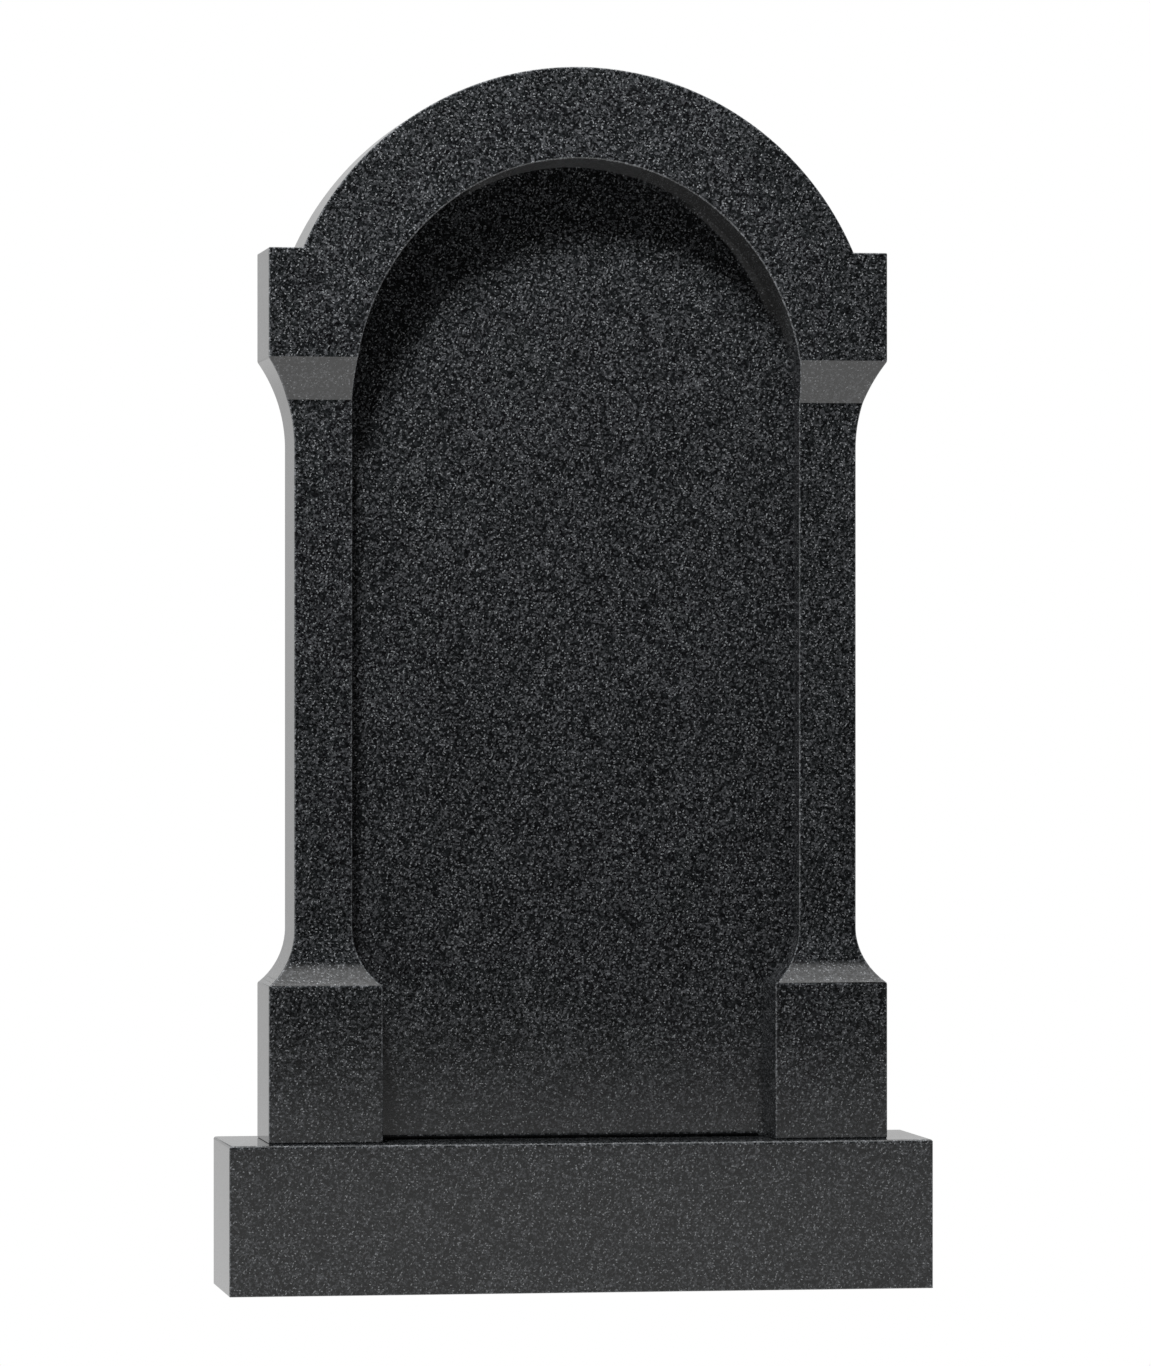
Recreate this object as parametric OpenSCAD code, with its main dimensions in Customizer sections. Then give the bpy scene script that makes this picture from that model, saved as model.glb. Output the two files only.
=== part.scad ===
// Arched headstone: one carved stele standing on a plain plinth.
// X runs along the face, Y from front to back, and Z up from the underside of the plinth.

/* [Stele] */
// Width over the base blocks, and over the cap blocks
stele_w = 628; // [520:1:800]
// Thickness of the base blocks, cap blocks and arch
stele_t = 110; // [80:1:160]

/* [Plinth] */
// Height of the plinth
plinth_h = 150; // [60:1:300]
// How far the plinth runs past each side of the stele
plinth_side = 42; // [0:1:150]
// How far the plinth runs past the front, and past the back, of the stele
plinth_front = 25; // [0:1:120]

/* [Base blocks] */
// Width of one base block
block_w = 114.5; // [80:0.5:150]
// Height of a base block
block_h = 157; // [40:1:260]
// Height of the hollow curve from a block up to its shaft
flare_h = 56; // [40:1:90]

/* [Shafts] */
// Height of the straight front of a shaft
shaft_h = 530.5; // [300:0.5:900]
// How far a shaft stands in from the outer side of its block
shaft_side_inset = 28; // [10:0.5:35]
// How far a shaft stands in from the inner side of its block
shaft_inner_inset = 28; // [10:0.5:35]
// How far a shaft stands back from the front of its block
shaft_setback = 22.5; // [8:0.5:30]

/* [Caps] */
// Height of the sloping front under a cap block
slope_h = 42; // [20:1:80]
// Height of the hollow curve at the outer side under a cap block
cap_curve_h = 87.5; // [60:0.5:120]
// How much lower that curve ends than the sloping front does
cap_curve_drop = 1; // [0.5:0.5:5]
// Height of a cap block
cap_h = 109; // [70:1:160]

/* [Arch] */
// Flat top left on each cap block beside the arch
cap_shoulder = 34.5; // [5:0.5:60]
// Height of the arch above the cap blocks
arch_rise = 184; // [110:1:225]
// Width of the arch's face at the crown
arch_face_w = 92; // [50:1:140]

/* [Sunk panel] */
// Depth of the panel behind the front of the blocks and arch
panel_depth = 52; // [36:1:70]
// How much nearer together the blocks are at the panel than at the front
block_draft = 4.5; // [0:0.5:8]
// How much lower the crown is at the panel than at the front
crown_draft = 5; // [0:0.5:8]
// Height of the shadow gap at the foot of the panel
foot_gap_h = 2.5; // [1:0.5:5]
// Depth of the shadow gap at the foot of the panel
foot_gap_d = 4; // [3:1:20]
// Stone left whole between each end of the shadow gap and its block
foot_gap_end = 1; // [0.5:0.5:10]

/* [Hidden] */
$fn = 96;

// Flat steps along the arch and along a hollow curve of the sunk panel
arch_steps = 72;
curve_steps = 12;
// How far a cut runs past the face that it opens
over = 2;
// How far the hollow in front of the panel runs on below the foot of the stele
foot_over = 30;

half_w = stele_w / 2;
plinth_w = stele_w + 2 * plinth_side;
plinth_d = stele_t + 2 * plinth_front;
front_y = -stele_t / 2;
shaft_y = front_y + shaft_setback;
panel_y = front_y + panel_depth;

shaft_outer = half_w - shaft_side_inset;
block_inner = half_w - block_w;
shaft_inner = block_inner + shaft_inner_inset;

// Heights above the foot of the stele
shaft_foot = block_h + flare_h;
shaft_top = shaft_foot + shaft_h;
cap_foot = shaft_top + slope_h;
cap_top = cap_foot + cap_h;
crown = cap_top + arch_rise;
panel_crown = crown - arch_face_w;

// The arch is the arc that stands `arch_rise` above a chord between the two shoulders
arch_half_chord = half_w - cap_shoulder;
arch_r = (arch_half_chord * arch_half_chord + arch_rise * arch_rise) / (2 * arch_rise);
arch_centre = crown - arch_r;

// Radius of an arc that leaves a straight side without a kink and drifts `inset` off it over `height`
function hollow_r(inset, height) = (inset * inset + height * height) / (2 * inset);

// Distance from a straight side to that arc, `up` along from where the two part
function hollow_offset(radius, up) = radius - sqrt(radius * radius - up * up);

module stone() color([0.17, 0.17, 0.18]) children();

// Stands a flat drawing up so that its own Y becomes Z, and gives it a depth along Y
module stand_up(depth) rotate([90, 0, 0]) linear_extrude(depth, center = true) children();

// Stele seen from the front, without its sunk panel
module front_outline() {
    difference() {
        union() {
            translate([-half_w, 0]) square([stele_w, cap_top]);
            intersection() {
                translate([0, arch_centre]) circle(arch_r);
                translate([-half_w, cap_foot]) square([stele_w, crown]);
            }
        }
        for (side = [0, 1]) mirror([side, 0]) outer_hollow();
    }
}

// What is cut away beside one shaft, with a hollow curve at each end
module outer_hollow() {
    foot_r = hollow_r(shaft_side_inset, flare_h);
    cap_r = hollow_r(shaft_side_inset, cap_curve_h);
    curve_foot = cap_foot - cap_curve_drop - cap_curve_h;
    translate([shaft_outer, shaft_foot])
        square([shaft_side_inset + over, curve_foot - shaft_foot]);
    translate([shaft_outer + foot_r, shaft_foot]) circle(foot_r);
    translate([shaft_outer + cap_r, curve_foot]) circle(cap_r);
}

// Stele seen from its side, with the shafts standing back from the blocks and caps
module side_outline() {
    foot_r = hollow_r(shaft_setback, flare_h);
    difference() {
        translate([front_y, 0]) square([stele_t, crown]);
        translate([shaft_y - foot_r, shaft_foot]) circle(foot_r);
        polygon([
            [front_y - over, shaft_foot],
            [shaft_y, shaft_foot],
            [shaft_y, shaft_top],
            [front_y - over, cap_foot + over * slope_h / shaft_setback],
        ]);
    }
}

// Outline of the sunk panel's hollow at a share `t` of its depth, 0 at the front and 1 at the panel
function panel_outline(t) =
    let (right = concat([[block_inner - block_draft * t, -foot_over]], inner_curve(t)))
    concat(right, panel_arch(t), [for (i = [len(right) - 1:-1:0]) [-right[i][0], right[i][1]]]);

// Hollow curve from the inner side of a block up to its shaft
function inner_curve(t) =
    let (
        inset = shaft_inner_inset + block_draft * t,
        radius = hollow_r(inset, flare_h)
    )
    [for (i = [curve_steps:-1:0])
        let (down = flare_h * i / curve_steps)
        [shaft_inner - hollow_offset(radius, down), shaft_foot - down]];

// Half ellipse that springs from the tops of the shafts
function panel_arch(t) =
    let (
        springing = shaft_top - crown_draft * t,
        rise = panel_crown - shaft_top
    )
    [for (i = [0:arch_steps])
        let (angle = 180 * i / arch_steps)
        [shaft_inner * cos(angle), springing + rise * sin(angle)]];

// Body of the hollow, from a little in front of the stele back to the panel
module panel_hollow() {
    near = panel_outline(-over / panel_depth);
    far = panel_outline(1);
    count = len(near);
    polyhedron(
        points = concat(
            [for (p = near) [p[0], front_y - over, p[1]]],
            [for (p = far) [p[0], panel_y, p[1]]]
        ),
        faces = concat(
            [[for (i = [count - 1:-1:0]) i]],
            [[for (i = [0:count - 1]) count + i]],
            [for (i = [0:count - 1])
                let (next = (i + 1) % count)
                [i, next, count + next, count + i]]
        )
    );
}

// Narrow gap under the front edge of the panel
module foot_gap() {
    gap_w = 2 * (block_inner - block_draft - foot_gap_end);
    translate([-gap_w / 2, panel_y - over, -over])
        cube([gap_w, foot_gap_d + over, foot_gap_h + over]);
}

module stele() {
    stone() translate([0, 0, plinth_h])
        difference() {
            intersection() {
                stand_up(stele_t) front_outline();
                rotate([0, 0, 90]) stand_up(stele_w) side_outline();
            }
            panel_hollow();
            foot_gap();
        }
}

module plinth() {
    stone() translate([-plinth_w / 2, -plinth_d / 2, 0]) cube([plinth_w, plinth_d, plinth_h]);
}

stele();
plinth();
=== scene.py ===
"""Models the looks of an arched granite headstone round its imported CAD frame.

The upright stele and its plinth are shaped again as finished stones, with eased arrises, polished
fronts and honed backs, and a plain bright studio is set up with one camera.
"""

import math
from collections import Counter

import bpy
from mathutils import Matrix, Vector


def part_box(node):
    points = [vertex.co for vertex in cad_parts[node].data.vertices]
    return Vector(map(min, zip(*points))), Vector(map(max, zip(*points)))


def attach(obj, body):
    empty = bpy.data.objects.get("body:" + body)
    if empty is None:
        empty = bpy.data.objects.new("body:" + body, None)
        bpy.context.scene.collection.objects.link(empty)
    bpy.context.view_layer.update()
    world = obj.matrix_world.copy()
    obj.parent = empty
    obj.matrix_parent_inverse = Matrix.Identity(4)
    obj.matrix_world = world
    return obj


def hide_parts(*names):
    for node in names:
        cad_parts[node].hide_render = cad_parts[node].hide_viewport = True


bl_info = {
    "name": "Arched Granite Headstone",
    "version": (1, 0, 0),
    "blender": (4, 5, 0),
    "location": "3D View > Sidebar > Headstone",
    "description": "Builds a polished granite headstone with a sunk arched panel on a plain plinth",
    "category": "Add Mesh",
}

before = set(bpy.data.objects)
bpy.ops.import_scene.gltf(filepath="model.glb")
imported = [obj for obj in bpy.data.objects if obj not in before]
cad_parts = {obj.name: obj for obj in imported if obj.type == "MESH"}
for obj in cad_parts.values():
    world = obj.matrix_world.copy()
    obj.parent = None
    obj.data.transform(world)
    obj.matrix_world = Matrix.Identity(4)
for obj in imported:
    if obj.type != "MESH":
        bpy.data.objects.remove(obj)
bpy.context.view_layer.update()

STELE_LOW, STELE_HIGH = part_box("stele")
PLINTH_LOW, PLINTH_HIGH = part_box("plinth")

# How far a cutter runs past the face that it opens, in metres
OVER = 0.002
# Flat steps in a full turn of the arches and of the hollow curves
ARCH_SEGMENTS = 240
CURVE_SEGMENTS = 384
# Flat steps in the curves that narrow the panel above the blocks
FLARE_STEPS = 16
# Flat steps across an eased arris
ARRIS_SEGMENTS = 4
# Points nearer than this after the cuts are one point, in metres
POINT_MERGE = 0.00002
# Neighbouring faces that turn by less than this are one flat face
FLAT_ANGLE = math.radians(0.4)
# Faces that turn by more than this are shaded as meeting at a crisp edge
CRISP_ANGLE = math.radians(25)
# An outer edge that turns by more than this is eased
EASED_ANGLE = math.radians(30)
# Material slots on each stone
POLISHED, HONED, EASED = range(3)
# Parts of a face's normal past which it counts as facing the front, the back and the ground
FACES_FRONT, FACES_BACK, FACES_DOWN = -0.2, 0.7, -0.95
# Length of a feldspar lath against its width
LATH_STRETCH = 2.2
# Widths of the stone's mottling, of the waviness of its crystals and of its clouds, in millimetres
MOTTLE_MM = 1.6
WAVE_MM = 2.0
CLOUD_MM = 45.0
# How far the waviness bends a crystal's edge from one side to the other, in metres
WAVE_REACH = 0.0012
# Depth of the fine relief that the crystals leave in the skin, in metres
RELIEF_DEPTH = 0.0002
# The floor's side, and how far it lies under the plinth, in metres
FLOOR_SIZE = 60.0
FLOOR_DROP = 0.0005
# Which way the light from behind shines, and how wide it looks from the stone
RIM_DIRECTION = (-0.15, -1.0, -0.8)
RIM_WIDTH = math.radians(10)
# Width of the camera's sensor in millimetres
SENSOR_MM = 36.0


# ---------------------------------------------------------------- settings


def length(name, description, default):
    """A size in metres that a user can change."""
    return bpy.props.FloatProperty(
        name=name, description=description, default=default, min=0.0, precision=4, unit="LENGTH"
    )


def shade(name, description, default):
    """An sRGB colour written as a hex value, such as #26282A."""
    return bpy.props.StringProperty(name=name, description=description, default=default)


def number(name, description, default, low=0.0, high=10.0):
    """A plain number that a user can change."""
    return bpy.props.FloatProperty(
        name=name, description=description, default=default, min=low, max=high
    )


class SteleSizes(bpy.types.PropertyGroup):
    """Sizes of the carved stele. Its width, thickness and height come from the frame."""

    block_width: length("Block Width", "Width of one base block", 0.1145)
    block_height: length("Block Height", "Height of a base block", 0.157)
    flare_height: length("Flare Height", "Height of the hollow curve above a block", 0.056)
    shaft_height: length("Shaft Height", "Height of the straight front of a shaft", 0.5305)
    side_inset: length("Side Inset", "Step from a block's outer side in to its shaft", 0.028)
    inner_inset: length("Inner Inset", "Step from a block's inner side in to its shaft", 0.028)
    setback: length("Setback", "Step from a block's front back to its shaft", 0.0225)
    slope_height: length("Slope Height", "Height of the sloping front under a cap block", 0.042)
    cap_curve_height: length("Cap Curve", "Height of the hollow curve under a cap block", 0.0875)
    cap_curve_drop: length("Curve Drop", "How much lower that curve ends than the slope", 0.001)
    cap_height: length("Cap Height", "Height of a cap block", 0.109)
    cap_shoulder: length("Cap Shoulder", "Flat top of a cap block beside the arch", 0.0345)
    arch_face: length("Arch Face", "Width of the arch's face at the crown", 0.092)
    panel_depth: length("Panel Depth", "Depth of the sunk panel behind the front", 0.052)
    block_draft: length("Block Draft", "Lean of a block's inner side over that depth", 0.0045)
    crown_draft: length("Crown Draft", "Fall of the crown over that depth", 0.005)
    gap_height: length("Gap Height", "Height of the shadow gap at the panel's foot", 0.0025)
    gap_depth: length("Gap Depth", "Depth of the shadow gap at the panel's foot", 0.004)
    gap_end: length("Gap End", "Stone left at each end of the shadow gap", 0.004)
    arris: length("Arris", "Width of the eased edges", 0.0015)


class PlinthSizes(bpy.types.PropertyGroup):
    """Sizes of the plinth's eased edges. Its length, depth and height come from the frame."""

    top_arris: length("Top Arris", "Width of the eased edges round the top", 0.003)
    side_arris: length("Side Arris", "Width of the eased upright edges", 0.0018)
    foot_arris: length("Foot Arris", "Width of the eased edges round the foot", 0.001)


class GraniteLooks(bpy.types.PropertyGroup):
    """Colours and grain of the granite."""

    matrix: shade("Matrix", "Dark grey between the crystals", "#161819")
    hornblende: shade("Hornblende", "Near-black crystals", "#050506")
    feldspar: shade("Feldspar", "Grey crystals", "#363739")
    fleck: shade("Fleck", "Small bright flecks", "#727476")
    grain_mm: number("Grain", "Width of a dark crystal in millimetres", 2.0, 0.5, 20.0)
    lath_mm: number("Lath", "Spacing of the bright laths in millimetres", 1.85, 0.5, 20.0)
    polished_roughness: number("Polish", "Roughness of the polished faces", 0.06, 0.0, 1.0)
    honed_roughness: number("Honing", "Roughness of the honed faces", 0.42, 0.0, 1.0)
    eased_roughness: number("Easing", "Roughness of the eased arrises", 0.25, 0.0, 1.0)
    # Eased arrises are ground rougher and so a little lighter; most of this gain is a painted
    # highlight line along them
    bruise_and_highlight_gain: number("Bruise and Highlight", "How much lighter the eased arrises are", 2.2, 1.0, 5.0)
    ior: number("IOR", "Refractive index of the stone", 1.6, 1.0, 3.0)


class StageLooks(bpy.types.PropertyGroup):
    """The camera's place and the studio's lights."""

    camera_place: bpy.props.FloatVectorProperty(
        name="Camera Place", description="Where the camera stands", subtype="XYZ",
        unit="LENGTH", default=(-1.0415, -6.8456, 0.5948),
    )
    camera_turn: bpy.props.FloatProperty(
        name="Camera Turn", description="Turn of the view to the right of straight ahead",
        subtype="ANGLE", default=math.radians(8.68),
    )
    lens_mm: number("Lens", "Focal length in millimetres on a 36 mm sensor", 180.4, 10.0, 400.0)
    view_rise: number("View Rise", "Upward shift of the frame, as a share of its height", 0.011)
    key_place: bpy.props.FloatVectorProperty(
        name="Key Light Place", description="Where the key softbox hangs", subtype="XYZ",
        unit="LENGTH", default=(-0.68, -1.15, 2.95),
    )
    key_size: length("Key Light Size", "Side of the square key softbox", 0.4)
    key_watts: number("Key Light Power", "Power of the key softbox in watts", 172.0, 0.0, 2000.0)
    rim_strength: number("Rim Light", "Strength of the weak light from behind", 1.5, 0.0, 50.0)


# ---------------------------------------------------------------- modelling helpers


def deselect_all():
    """Leaves object mode with nothing selected."""
    if bpy.context.mode != "OBJECT":
        bpy.ops.object.mode_set(mode="OBJECT")
    bpy.ops.object.select_all(action="DESELECT")


def make_active(obj):
    """Selects one object alone and makes it active."""
    deselect_all()
    obj.select_set(True)
    bpy.context.view_layer.objects.active = obj


def settle(name):
    """Names the active new object and moves its place into its mesh."""
    obj = bpy.context.object
    obj.name = name
    obj.data.name = name
    bpy.ops.object.transform_apply(location=True, rotation=True, scale=True)
    return obj


def add_box(name, low, high):
    """A box between two corners."""
    deselect_all()
    low, high = Vector(low), Vector(high)
    bpy.ops.mesh.primitive_cube_add(size=1.0, location=(low + high) / 2, scale=high - low)
    return settle(name)


def add_drum(name, radius, centre, along, depth, segments):
    """A cylinder of `depth` that lies along X or Y."""
    deselect_all()
    turn = (0.0, math.pi / 2, 0.0) if along == "X" else (math.pi / 2, 0.0, 0.0)
    bpy.ops.mesh.primitive_cylinder_add(
        vertices=segments, radius=radius, depth=depth, location=centre, rotation=turn
    )
    return settle(name)


def pick(obj, kind, chosen):
    """Enters edit mode with only the chosen vertices or edges selected, by their index."""
    make_active(obj)
    bpy.ops.object.mode_set(mode="EDIT")
    bpy.ops.mesh.select_mode(type=kind)
    bpy.ops.mesh.select_all(action="DESELECT")
    bpy.ops.object.mode_set(mode="OBJECT")
    elements = obj.data.vertices if kind == "VERT" else obj.data.edges
    for index in chosen:
        elements[index].select = True
    bpy.ops.object.mode_set(mode="EDIT")


def select_vertices(obj, wanted):
    """Enters edit mode with only the vertices selected for which `wanted(co)` holds."""
    pick(obj, "VERT", [vertex.index for vertex in obj.data.vertices if wanted(vertex.co)])


def shift_vertices(obj, wanted, offset):
    """Moves the wanted vertices."""
    select_vertices(obj, wanted)
    bpy.ops.transform.translate(value=offset)
    bpy.ops.object.mode_set(mode="OBJECT")


def scale_vertices(obj, wanted, factors, centre=(0, 0, 0)):
    """Stretches the wanted vertices about a point."""
    select_vertices(obj, wanted)
    bpy.ops.transform.resize(value=factors, center_override=centre)
    bpy.ops.object.mode_set(mode="OBJECT")


def cut(body, cutter):
    """Cuts the body by another solid, which is used up."""
    make_active(body)
    difference = body.modifiers.new("Cut", "BOOLEAN")
    difference.operation = "DIFFERENCE"
    difference.solver = "EXACT"
    difference.object = cutter
    bpy.ops.object.modifier_apply(modifier=difference.name)
    bpy.data.objects.remove(cutter)


def clean_faces(obj):
    """Merges doubled points and flat neighbouring faces, and drops points along an edge."""
    make_active(obj)
    bpy.ops.object.mode_set(mode="EDIT")
    bpy.ops.mesh.select_all(action="SELECT")
    bpy.ops.mesh.remove_doubles(threshold=POINT_MERGE)
    bpy.ops.mesh.dissolve_limited(angle_limit=FLAT_ANGLE)
    bpy.ops.object.mode_set(mode="OBJECT")
    meeting = Counter(index for edge in obj.data.edges for index in edge.vertices)
    pick(obj, "VERT", [index for index, edges in meeting.items() if edges == 2])
    bpy.ops.mesh.dissolve_verts()
    bpy.ops.mesh.select_all(action="SELECT")
    bpy.ops.mesh.normals_make_consistent(inside=False)
    bpy.ops.object.mode_set(mode="OBJECT")


def hollow_radius(inset, height):
    """Radius of an arc that leaves a straight side smoothly and drifts `inset` off it."""
    return (inset * inset + height * height) / (2 * inset)


def hollow_offset(radius, drop):
    """How far that arc is off the straight side, `drop` along from where they part."""
    return radius - math.sqrt(radius * radius - drop * drop)


# ---------------------------------------------------------------- stele


class SteleLevels:
    """Heights, half widths and depths worked out from the sizes, in the shared frame."""

    def __init__(self, sizes):
        self.foot = STELE_LOW.z
        self.crown = STELE_HIGH.z
        self.front = STELE_LOW.y
        self.back = STELE_HIGH.y
        self.half_width = STELE_HIGH.x
        self.shaft_front = self.front + sizes.setback
        self.panel = self.front + sizes.panel_depth
        self.shaft_outer = self.half_width - sizes.side_inset
        self.block_inner = self.half_width - sizes.block_width
        self.shaft_inner = self.block_inner + sizes.inner_inset
        self.block_top = self.foot + sizes.block_height
        self.shaft_foot = self.block_top + sizes.flare_height
        self.shaft_top = self.shaft_foot + sizes.shaft_height
        self.cap_foot = self.shaft_top + sizes.slope_height
        self.cap_top = self.cap_foot + sizes.cap_height
        self.panel_crown = self.crown - sizes.arch_face
        chord = self.half_width - sizes.cap_shoulder
        rise = self.crown - self.cap_top
        self.arch_radius = (chord * chord + rise * rise) / (2 * rise)
        self.arch_centre = self.crown - self.arch_radius


def raise_body(levels):
    """The slab with its round arch."""
    body = add_box(
        "stele_body",
        (-levels.half_width, levels.front, levels.foot),
        (levels.half_width, levels.back, levels.crown + OVER),
    )
    wide, near, far = levels.half_width + OVER, levels.front - OVER, levels.back + OVER
    spandrels = add_box(
        "spandrels", (-wide, near, levels.cap_top), (wide, far, levels.crown + 2 * OVER)
    )
    arch = add_drum(
        "arch", levels.arch_radius, (0, (near + far) / 2, levels.arch_centre), "Y",
        far - near + 2 * OVER, ARCH_SEGMENTS,
    )
    cut(spandrels, arch)
    cut(body, spandrels)
    return body


def cut_sides(body, levels, sizes):
    """Cuts the waist beside each shaft, with a hollow curve at each end."""
    middle = (levels.front + levels.back) / 2
    depth = levels.back - levels.front + 2 * OVER
    foot_radius = hollow_radius(sizes.side_inset, sizes.flare_height)
    cap_radius = hollow_radius(sizes.side_inset, sizes.cap_curve_height)
    curve_foot = levels.cap_foot - sizes.cap_curve_drop - sizes.cap_curve_height
    for side in (-1, 1):
        inner, outer = side * levels.shaft_outer, side * (levels.half_width + OVER)
        waist = add_box(
            "waist",
            (min(inner, outer), levels.front - OVER, levels.shaft_foot),
            (max(inner, outer), levels.back + OVER, curve_foot),
        )
        cut(body, waist)
        for radius, height in ((foot_radius, levels.shaft_foot), (cap_radius, curve_foot)):
            place = (side * (levels.shaft_outer + radius), middle, height)
            hollow = add_drum("hollow", radius, place, "Y", depth, CURVE_SEGMENTS)
            cut(body, hollow)


def cut_front(body, levels, sizes):
    """Sets the shafts back from the blocks and caps, with a hollow below and a slope above."""
    wide = levels.half_width + OVER
    setback = add_box(
        "setback",
        (-wide, levels.front - OVER, levels.shaft_foot),
        (wide, levels.shaft_front, levels.cap_foot),
    )
    rise = OVER * sizes.slope_height / sizes.setback
    shift_vertices(
        setback,
        lambda co: co.z > levels.shaft_top and co.y > levels.front,
        (0, 0, -sizes.slope_height),
    )
    shift_vertices(
        setback, lambda co: co.z > levels.shaft_top and co.y < levels.front, (0, 0, rise)
    )
    cut(body, setback)
    radius = hollow_radius(sizes.setback, sizes.flare_height)
    place = (0, levels.shaft_front - radius, levels.shaft_foot)
    hollow = add_drum("front_hollow", radius, place, "X", 2 * wide, CURVE_SEGMENTS)
    cut(body, hollow)


def cut_arch_hollow(body, levels, sizes):
    """Sinks the round head of the panel and the straight stretch between the shafts."""
    near = levels.front - OVER
    half, rise = levels.shaft_inner, levels.panel_crown - levels.shaft_top
    middle = (near + levels.panel) / 2
    fall = Vector((0, 0, -sizes.crown_draft))
    lift = -fall * OVER / sizes.panel_depth
    head = add_drum(
        "head", half, (0, middle, levels.shaft_top), "Y", levels.panel - near, ARCH_SEGMENTS
    )
    scale_vertices(head, lambda co: True, (1, 1, rise / half), (0, 0, levels.shaft_top))
    shift_vertices(head, lambda co: co.y > middle, fall)
    shift_vertices(head, lambda co: co.y < middle, lift)
    cut(body, head)
    jambs = add_box(
        "jambs", (-half, near, levels.shaft_foot), (half, levels.panel, levels.shaft_top)
    )
    top = (levels.shaft_foot + levels.shaft_top) / 2
    shift_vertices(jambs, lambda co: co.y > middle and co.z > top, fall)
    shift_vertices(jambs, lambda co: co.y < middle and co.z > top, lift)
    cut(body, jambs)


def cut_block_hollow(body, levels, sizes):
    """Sinks the stretch between the blocks, which leans in, and the curves above it."""
    near = levels.front - OVER
    middle = (near + levels.panel) / 2
    half = levels.block_inner
    hollow = add_box(
        "block_hollow",
        (-half, near, levels.foot - 10 * OVER),
        (half, levels.panel, levels.block_top),
    )
    # The cutter's near points and its far points, with their half widths between the blocks
    rows = (lambda co: co.y < middle, lambda co: co.y > middle)
    low_widths = (
        half + sizes.block_draft * OVER / sizes.panel_depth,
        half - sizes.block_draft,
    )
    for in_row, width in zip(rows, low_widths):
        scale_vertices(hollow, in_row, (width / half, 1, 1))
    widths = list(low_widths)
    rise = sizes.flare_height / FLARE_STEPS
    top = levels.block_top
    for step in range(1, FLARE_STEPS + 1):
        select_vertices(hollow, lambda co: co.z > top - rise / 2)
        bpy.ops.mesh.extrude_region_move(TRANSFORM_OT_translate={"value": (0, 0, rise)})
        bpy.ops.object.mode_set(mode="OBJECT")
        top += rise
        drop = sizes.flare_height * (1 - step / FLARE_STEPS)
        for row, in_row in enumerate(rows):
            radius = hollow_radius(levels.shaft_inner - low_widths[row], sizes.flare_height)
            width = levels.shaft_inner - hollow_offset(radius, drop)
            scale_vertices(
                hollow,
                lambda co: co.z > top - rise / 2 and in_row(co),
                (width / widths[row], 1, 1),
            )
            widths[row] = width
    cut(body, hollow)


def cut_foot_gap(body, levels, sizes):
    """Cuts the narrow shadow gap under the panel's front edge."""
    half = levels.block_inner - sizes.block_draft - sizes.gap_end
    gap = add_box(
        "gap",
        (-half, levels.panel - OVER, levels.foot - OVER),
        (half, levels.panel + sizes.gap_depth, levels.foot + sizes.gap_height),
    )
    cut(body, gap)


# ---------------------------------------------------------------- arrises


def bevel_edges(obj, wanted, width):
    """Rounds the edges for whose two ends `wanted` holds."""
    mesh = obj.data
    ends = {edge.index: [mesh.vertices[i].co for i in edge.vertices] for edge in mesh.edges}
    pick(obj, "EDGE", [index for index, (start, end) in ends.items() if wanted(start, end)])
    bpy.ops.mesh.bevel(
        offset=width, segments=ARRIS_SEGMENTS, profile=0.5, affect="EDGES", material=EASED
    )
    bpy.ops.object.mode_set(mode="OBJECT")


def ease_edges(obj, width):
    """Rounds every crisp outer edge. Inner corners stay as the saw and chisel leave them."""
    make_active(obj)
    mesh = obj.data
    sides = {}
    for face in mesh.polygons:
        for key in face.edge_keys:
            sides.setdefault(key, []).append(face)
    weights = mesh.attributes.new("bevel_weight_edge", "FLOAT", "EDGE")
    for edge in mesh.edges:
        one, two = sides[tuple(sorted(edge.vertices))]
        turn = one.normal.angle(two.normal)
        outer = stands_out(mesh, edge, one, two)
        weights.data[edge.index].value = float(outer and turn > EASED_ANGLE)
    bevel = obj.modifiers.new("Arris", "BEVEL")
    bevel.width = width
    bevel.segments = ARRIS_SEGMENTS
    bevel.limit_method = "WEIGHT"
    bevel.use_clamp_overlap = False
    bevel.face_strength_mode = "FSTR_AFFECTED"
    bevel.material = EASED
    bpy.ops.object.modifier_apply(modifier=bevel.name)


def stands_out(mesh, edge, one, two):
    """Whether the stone stands out at an edge between two faces, or turns in there."""
    start, end = (mesh.vertices[i].co for i in edge.vertices)
    along = (end - start).normalized()
    corners = list(one.vertices)
    place = corners.index(edge.vertices[0])
    if corners[(place + 1) % len(corners)] != edge.vertices[1]:
        along = -along
    return one.normal.cross(two.normal).dot(along) > 0


def smooth_faces(obj):
    """Smooth shading that leaves the broad faces their own and turns only the arrises."""
    make_active(obj)
    bpy.ops.object.shade_smooth_by_angle(angle=CRISP_ANGLE)
    weighted = obj.modifiers.new("Flat Faces", "WEIGHTED_NORMAL")
    weighted.keep_sharp = True
    weighted.use_face_influence = True
    bpy.ops.object.modifier_apply(modifier=weighted.name)


# ---------------------------------------------------------------- granite


def linear(hex_colour):
    """Turns an sRGB hex colour to the linear RGBA that a shader takes."""
    parts = [int(hex_colour[i : i + 2], 16) / 255 for i in (1, 3, 5)]
    values = [c / 12.92 if c <= 0.04045 else ((c + 0.055) / 1.055) ** 2.4 for c in parts]
    return (*values, 1.0)


def add_node(tree, kind, settings=None, values=None, links=None):
    """Adds a node, sets its settings and input values, and links its inputs."""
    node = tree.nodes.new(kind)
    for key, value in (settings or {}).items():
        setattr(node, key, value)
    for key, value in (values or {}).items():
        node.inputs[key].default_value = value
    for key, socket in (links or {}).items():
        tree.links.new(socket, node.inputs[key])
    return node


def per_mm(width_mm):
    """Texture scale at which one cell is `width_mm` wide, on coordinates in metres."""
    return 1000.0 / width_mm


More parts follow.
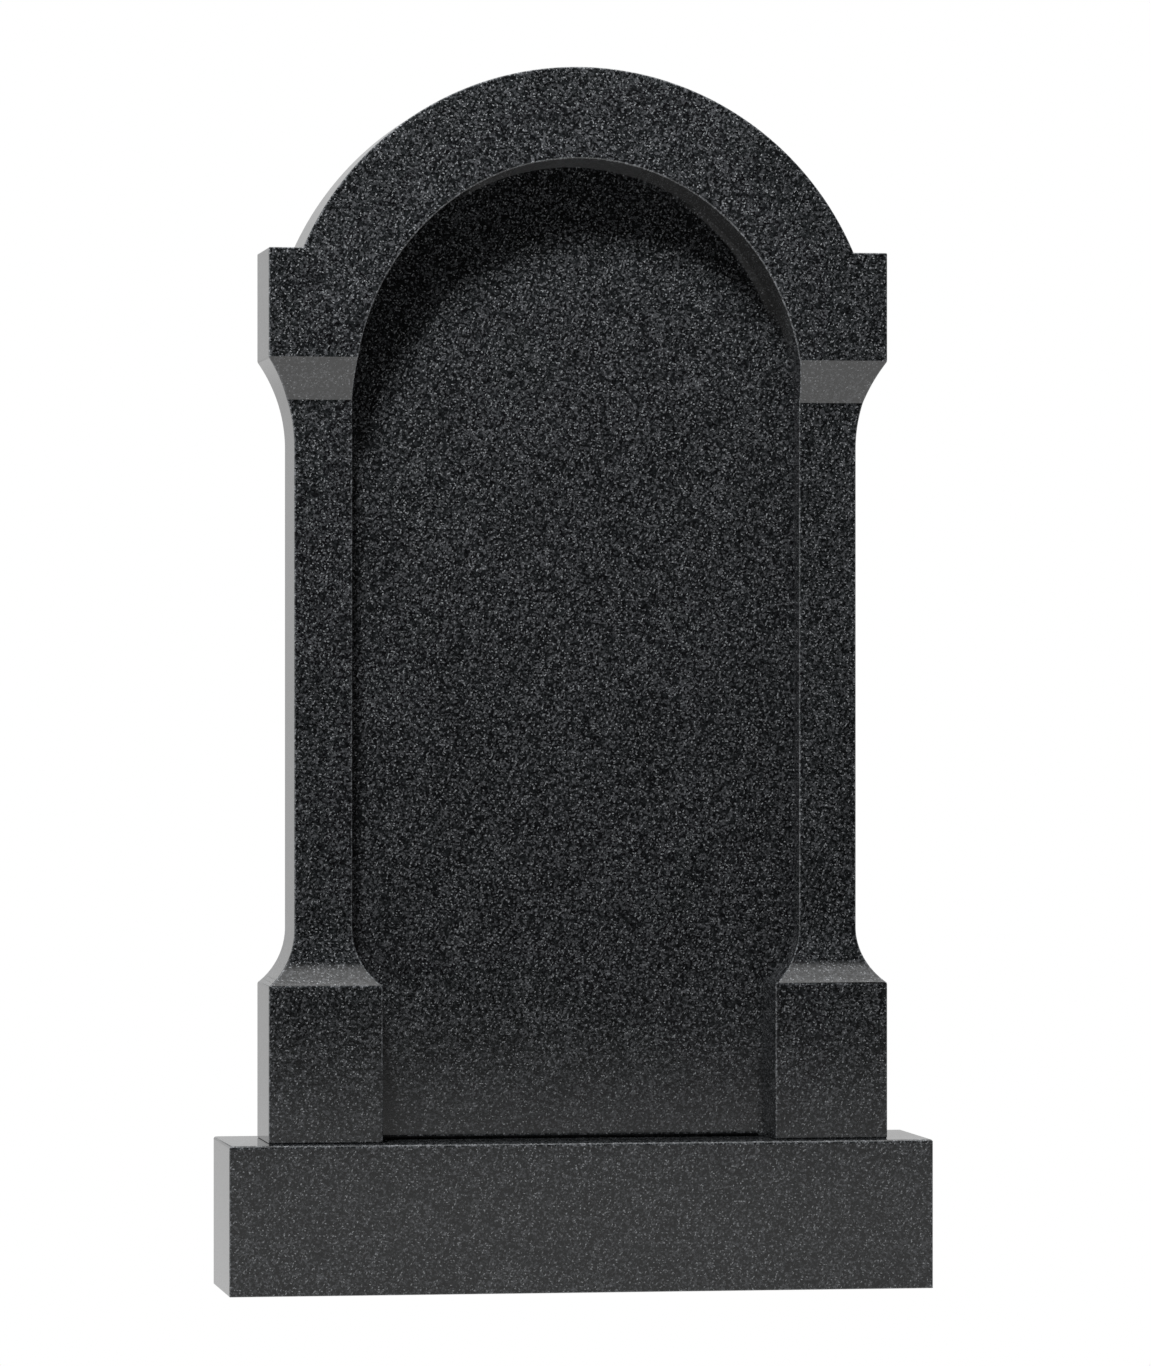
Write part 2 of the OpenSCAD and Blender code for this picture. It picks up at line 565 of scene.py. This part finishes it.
def add_noise(tree, place, width_mm, roughness=0.5):
    """Soft noise whose patches are about `width_mm` wide."""
    return add_node(
        tree, "ShaderNodeTexNoise",
        values={"Scale": per_mm(width_mm), "Detail": 2.0, "Roughness": roughness},
        links={"Vector": place},
    )


def add_cells(tree, place, width_mm):
    """Irregular cells about `width_mm` wide, each with a colour of its own."""
    return add_node(
        tree, "ShaderNodeTexVoronoi", values={"Scale": per_mm(width_mm)}, links={"Vector": place}
    )


def add_range(tree, source, start, end, low, high, fade="LINEAR"):
    """Turns `source`, from `start` to `end`, into a value from `low` to `high`."""
    return add_node(
        tree, "ShaderNodeMapRange", {"interpolation_type": fade},
        {1: start, 2: end, 3: low, 4: high}, {0: source},
    ).outputs[0]


def add_math(tree, operation, one, two):
    """Works out one value from two."""
    node = add_node(tree, "ShaderNodeMath", {"operation": operation}, links={0: one, 1: two})
    return node.outputs[0]


def add_laths(tree, place, looks, turn):
    """A mask of sparse bright feldspar laths, about twice as long as wide, that lie one way."""
    lying = add_node(
        tree, "ShaderNodeMapping", {"vector_type": "TEXTURE"},
        {"Rotation": turn, "Scale": (1.0, 1.0, LATH_STRETCH)}, {"Vector": place},
    )
    laths = add_cells(tree, lying.outputs[0], looks.lath_mm)
    # Bright in the middle of its cell, and gone well before the cell's edge
    core = add_range(tree, laths.outputs["Distance"], 0.18, 0.36, 1.0, 0.0)
    # Two cells in five hold a lath, some brighter than others
    chance = add_node(tree, "ShaderNodeSeparateColor", links={"Color": laths.outputs["Color"]})
    chosen = add_range(tree, chance.outputs[1], 0.6, 1.0, 0.0, 1.0)
    return add_math(tree, "MULTIPLY", core, chosen)


def make_granite(name, looks, cut_from, roughness, relief_strength, lightness):
    """Dark gabbro, sawn and then polished, honed or eased.

    Near-black and grey crystals about two millimetres wide interlock, with small bright feldspar
    laths that catch the light. Polishing leaves a mirror-like skin over them, and honing a dull
    one. `cut_from` is the place in the quarry block, so that no two stones match.
    """
    material = bpy.data.materials.new(name)
    material.use_nodes = True
    tree = material.node_tree
    tree.nodes.clear()
    # Turned so that no face of the stone lies along the pattern's own grid
    place = add_node(
        tree, "ShaderNodeMapping", values={"Location": cut_from, "Rotation": (0.5, 0.35, 0.2)},
        links={"Vector": add_node(tree, "ShaderNodeTexCoord").outputs["Object"]},
    ).outputs[0]
    waves = add_noise(tree, place, WAVE_MM)
    wavy = add_node(
        tree, "ShaderNodeVectorMath", {"operation": "MULTIPLY_ADD"},
        {1: (WAVE_REACH, WAVE_REACH, WAVE_REACH)}, {0: waves.outputs["Color"], 2: place},
    ).outputs[0]
    crystals = add_cells(tree, wavy, looks.grain_mm)
    tone = add_node(
        tree, "ShaderNodeSeparateColor", links={"Color": crystals.outputs["Color"]}
    ).outputs[0]
    crystal_colour = add_node(tree, "ShaderNodeValToRGB", links={"Fac": tone})
    ramp = crystal_colour.color_ramp
    ramp.elements[0].position, ramp.elements[0].color = 0.0, linear(looks.hornblende)
    ramp.elements[1].position, ramp.elements[1].color = 1.0, linear(looks.feldspar)
    # Just over half of the crystals run from near-black to the dark grey
    ramp.elements.new(0.55).color = linear(looks.matrix)
    # Each crystal is uneven within, from a third to nearly twice as bright
    mottle = add_noise(tree, place, MOTTLE_MM, 0.6).outputs["Fac"]
    mottle_gain = add_range(tree, mottle, 0.3, 0.7, 0.3, 1.75)
    # Cloudy patches a few centimetres wide, barely lighter or darker
    clouds = add_noise(tree, place, CLOUD_MM).outputs["Fac"]
    cloud_gain = add_range(tree, clouds, 0.3, 0.7, 0.85 * lightness, 1.15 * lightness)
    ground = add_node(
        tree, "ShaderNodeVectorMath", {"operation": "SCALE"},
        links={
            0: crystal_colour.outputs["Color"],
            "Scale": add_math(tree, "MULTIPLY", mottle_gain, cloud_gain),
        },
    )
    laths = add_math(
        tree, "MAXIMUM",
        add_laths(tree, wavy, looks, (0.3, 0.9, 0.0)),
        add_laths(tree, wavy, looks, (-0.4, -0.7, 0.6)),
    )
    colour = add_node(
        tree, "ShaderNodeMix", {"data_type": "RGBA"}, {7: linear(looks.fleck)},
        {0: laths, 6: ground.outputs[0]},
    )
    # Dark crystals take a slightly better polish than grey ones
    grain_roughness = add_range(tree, tone, 0.0, 1.0, roughness * 0.8, roughness * 1.3)
    relief = add_node(
        tree, "ShaderNodeBump", values={"Strength": relief_strength, "Distance": RELIEF_DEPTH},
        links={"Height": mottle},
    )
    shader = add_node(
        tree, "ShaderNodeBsdfPrincipled", values={"IOR": looks.ior},
        links={
            "Base Color": colour.outputs[2],
            "Roughness": grain_roughness,
            "Normal": relief.outputs[0],
        },
    )
    add_node(tree, "ShaderNodeOutputMaterial", links={"Surface": shader.outputs[0]})
    return material


def add_finishes(obj, stone, looks, cut_from):
    """Gives the stone its three finishes, in the order of the material slots.

    A polished face mirrors and a honed one is dull. An eased arris is ground rougher, which makes
    it somewhat lighter; the rest of its lightness is a painted highlight, a thin line along the
    front arrises.
    """
    obj.data.materials.clear()
    for finish, roughness, relief_strength, lightness in (
        ("polished", looks.polished_roughness, 0.03, 1.0),
        ("honed", looks.honed_roughness, 0.25, 1.0),
        # The eased finish is painted lighter, partly for its rough grinding and partly as a painted
        # highlight
        ("eased", looks.eased_roughness, 0.1, looks.bruise_and_highlight_gain),
    ):
        name = f"gabbro_{finish}_{stone}"
        granite = make_granite(name, looks, cut_from, roughness, relief_strength, lightness)
        obj.data.materials.append(granite)


def dress(obj):
    """Polishes the faces, hones the back and the underside, and keeps the lighter eased finish,
    with its painted highlight, on the front arrises only.
    """
    for face in obj.data.polygons:
        # Arrises that don't face the front lose the painted highlight and are polished or honed
        # like their faces
        if face.material_index != EASED or face.normal.y > FACES_FRONT:
            hidden = face.normal.y > FACES_BACK or face.normal.z < FACES_DOWN
            face.material_index = HONED if hidden else POLISHED


# ---------------------------------------------------------------- operators


class HEADSTONE_OT_add_stele(bpy.types.Operator):
    """Carve the stele: blocks, shafts, caps, round arch and sunk panel"""

    bl_idname = "headstone.add_stele"
    bl_label = "Add Stele"

    def execute(self, context):
        sizes = context.scene.headstone_stele
        looks = context.scene.headstone_granite
        levels = SteleLevels(sizes)
        stele = raise_body(levels)
        cut_sides(stele, levels, sizes)
        cut_front(stele, levels, sizes)
        cut_arch_hollow(stele, levels, sizes)
        cut_block_hollow(stele, levels, sizes)
        cut_foot_gap(stele, levels, sizes)
        clean_faces(stele)
        stele.name = stele.data.name = "stele_stone"
        add_finishes(stele, "stele", looks, (0.0, 0.0, 0.0))
        ease_edges(stele, sizes.arris)
        smooth_faces(stele)
        dress(stele)
        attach(stele, "root")
        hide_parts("stele")
        return {"FINISHED"}


class HEADSTONE_OT_add_plinth(bpy.types.Operator):
    """Add the plain plinth with eased edges"""

    bl_idname = "headstone.add_plinth"
    bl_label = "Add Plinth"

    def execute(self, context):
        sizes = context.scene.headstone_plinth
        looks = context.scene.headstone_granite
        plinth = add_box("plinth_stone", PLINTH_LOW, PLINTH_HIGH)
        add_finishes(plinth, "plinth", looks, (0.4, 0.7, 0.2))
        top, foot = PLINTH_HIGH.z, PLINTH_LOW.z
        bevel_edges(plinth, lambda a, b: a.z > foot + OVER and b.z > foot + OVER, sizes.top_arris)
        bevel_edges(plinth, lambda a, b: a.z < foot + OVER and b.z < foot + OVER, sizes.foot_arris)
        tall = (top - foot) / 2
        bevel_edges(plinth, lambda a, b: abs(a.z - b.z) > tall, sizes.side_arris)
        smooth_faces(plinth)
        dress(plinth)
        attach(plinth, "root")
        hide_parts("plinth")
        return {"FINISHED"}


class HEADSTONE_OT_add_stage(bpy.types.Operator):
    """Set up the pale floor, the soft studio light and the camera"""

    bl_idname = "headstone.add_stage"
    bl_label = "Add Stage"

    def execute(self, context):
        looks = context.scene.headstone_stage
        add_floor()
        light_dome(context.scene)
        add_key_light(looks)
        add_rim_light(looks)
        add_camera(context.scene, looks)
        context.scene.view_settings.view_transform = "Standard"
        return {"FINISHED"}


def add_floor():
    """A plain white floor that only the eye sees. The studio's bounce comes from the dome."""
    deselect_all()
    bpy.ops.mesh.primitive_plane_add(
        size=FLOOR_SIZE, location=(0, 0, PLINTH_LOW.z - FLOOR_DROP)
    )
    floor = settle("floor")
    floor.visible_diffuse = floor.visible_glossy = False
    material = bpy.data.materials.new("pale_floor")
    material.use_nodes = True
    tree = material.node_tree
    tree.nodes.clear()
    glow = add_node(tree, "ShaderNodeEmission", values={"Strength": 1.0})
    add_node(tree, "ShaderNodeOutputMaterial", links={"Surface": glow.outputs[0]})
    floor.data.materials.append(material)


def sine(degrees):
    """Height of a direction that is so many degrees above the horizon."""
    return math.sin(math.radians(degrees))


def add_fade(tree, source, start, end, low, high):
    """A soft step of `source` from `low` at `start` to `high` at `end`."""
    return add_range(tree, source, start, end, low, high, "SMOOTHSTEP")


def light_dome(scene):
    """The studio that the stone mirrors: white to the eye, with its own brightness all round.

    Behind is a bright backdrop, and in front a dark room. A bright floor fades towards the
    horizon, a wide ceiling light hangs high up, and a softbox stands to the left.
    """
    world = bpy.data.worlds.new("studio")
    world.use_nodes = True
    tree = world.node_tree
    tree.nodes.clear()
    direction = add_node(tree, "ShaderNodeTexCoord").outputs["Generated"]
    axes = add_node(tree, "ShaderNodeSeparateXYZ", links={0: direction})
    height = axes.outputs["Z"]
    # Brightness by height in front of the stone and behind it, one shading into the other
    room = add_fade(tree, height, sine(-3.7), sine(-2.8), 0.62, 0.02)
    backdrop = add_fade(tree, height, sine(-6), sine(-2), 0.78, 0.61)
    behind = add_fade(tree, axes.outputs["Y"], -0.35, -0.05, 0.0, 1.0)
    glow = add_node(
        tree, "ShaderNodeMix", {"data_type": "FLOAT"}, links={0: behind, 2: room, 3: backdrop}
    ).outputs[0]
    # The bright floor, the ceiling light and the softbox on the left add to it
    for light in (
        add_fade(tree, height, sine(-50), sine(-8), 0.9, 0.0),
        add_fade(tree, height, sine(44), sine(62), 0.0, 1.7),
        add_fade(tree, axes.outputs["X"], -0.9, -0.75, 1.0, 0.0),
    ):
        glow = add_math(tree, "ADD", glow, light)
    seen = add_node(tree, "ShaderNodeLightPath").outputs["Is Camera Ray"]
    strength = add_node(
        tree, "ShaderNodeMix", {"data_type": "FLOAT"}, {3: 1.0}, {0: seen, 2: glow}
    )
    background = add_node(
        tree, "ShaderNodeBackground", values={"Color": (1.0, 1.0, 1.0, 1.0)},
        links={"Strength": strength.outputs[0]},
    )
    add_node(tree, "ShaderNodeOutputWorld", links={"Surface": background.outputs[0]})
    scene.world = world


def add_key_light(looks):
    """The key softbox, high and to the left in front. It falls off towards the plinth."""
    deselect_all()
    bpy.ops.object.light_add(type="AREA", location=looks.key_place)
    key = bpy.context.object
    key.name = "key_light"
    key.data.shape = "SQUARE"
    key.data.size = looks.key_size
    key.data.energy = looks.key_watts
    key.visible_glossy = False
    aim = Vector((0, 0, (STELE_LOW.z + STELE_HIGH.z) / 2)) - Vector(looks.key_place)
    key.rotation_euler = aim.to_track_quat("-Z", "Y").to_euler()


def add_rim_light(looks):
    """A weak light from behind, which shows the grain of the honed back."""
    deselect_all()
    bpy.ops.object.light_add(type="SUN")
    rim = bpy.context.object
    rim.name = "rim_light"
    rim.data.energy = looks.rim_strength
    rim.data.angle = RIM_WIDTH
    rim.visible_glossy = False
    rim.rotation_euler = Vector(RIM_DIRECTION).to_track_quat("-Z", "Y").to_euler()


def add_camera(scene, looks):
    """A level camera with a long lens, a little to the left of the stone's axis."""
    deselect_all()
    bpy.ops.object.camera_add(
        location=looks.camera_place, rotation=(math.pi / 2, 0, -looks.camera_turn)
    )
    camera = bpy.context.object
    camera.data.lens = looks.lens_mm
    camera.data.sensor_width = SENSOR_MM
    camera.data.shift_y = looks.view_rise
    scene.camera = camera


class HEADSTONE_PT_panel(bpy.types.Panel):
    """Lists the headstone's parts in the sidebar"""

    bl_idname = "HEADSTONE_PT_panel"
    bl_label = "Headstone"
    bl_space_type = "VIEW_3D"
    bl_region_type = "UI"
    bl_category = "Headstone"

    def draw(self, context):
        for operator in OPERATORS:
            self.layout.operator(operator.bl_idname)
        for group in GROUPS:
            box = self.layout.box()
            for name in GROUPS[group].__annotations__:
                box.prop(getattr(context.scene, group), name)


OPERATORS = (HEADSTONE_OT_add_stele, HEADSTONE_OT_add_plinth, HEADSTONE_OT_add_stage)
GROUPS = {
    "headstone_stele": SteleSizes,
    "headstone_plinth": PlinthSizes,
    "headstone_granite": GraniteLooks,
    "headstone_stage": StageLooks,
}


def register():
    """Makes the settings, operators and panel known to Blender."""
    for cls in (*GROUPS.values(), *OPERATORS, HEADSTONE_PT_panel):
        bpy.utils.register_class(cls)
    for name, cls in GROUPS.items():
        setattr(bpy.types.Scene, name, bpy.props.PointerProperty(type=cls))


def unregister():
    """Takes them away again."""
    for name in GROUPS:
        delattr(bpy.types.Scene, name)
    for cls in (HEADSTONE_PT_panel, *reversed(OPERATORS), *reversed(GROUPS.values())):
        bpy.utils.unregister_class(cls)


def main():
    """Builds the whole scene."""
    register()
    bpy.ops.headstone.add_stele()
    bpy.ops.headstone.add_plinth()
    bpy.ops.headstone.add_stage()


if __name__ == "__main__":
    main()
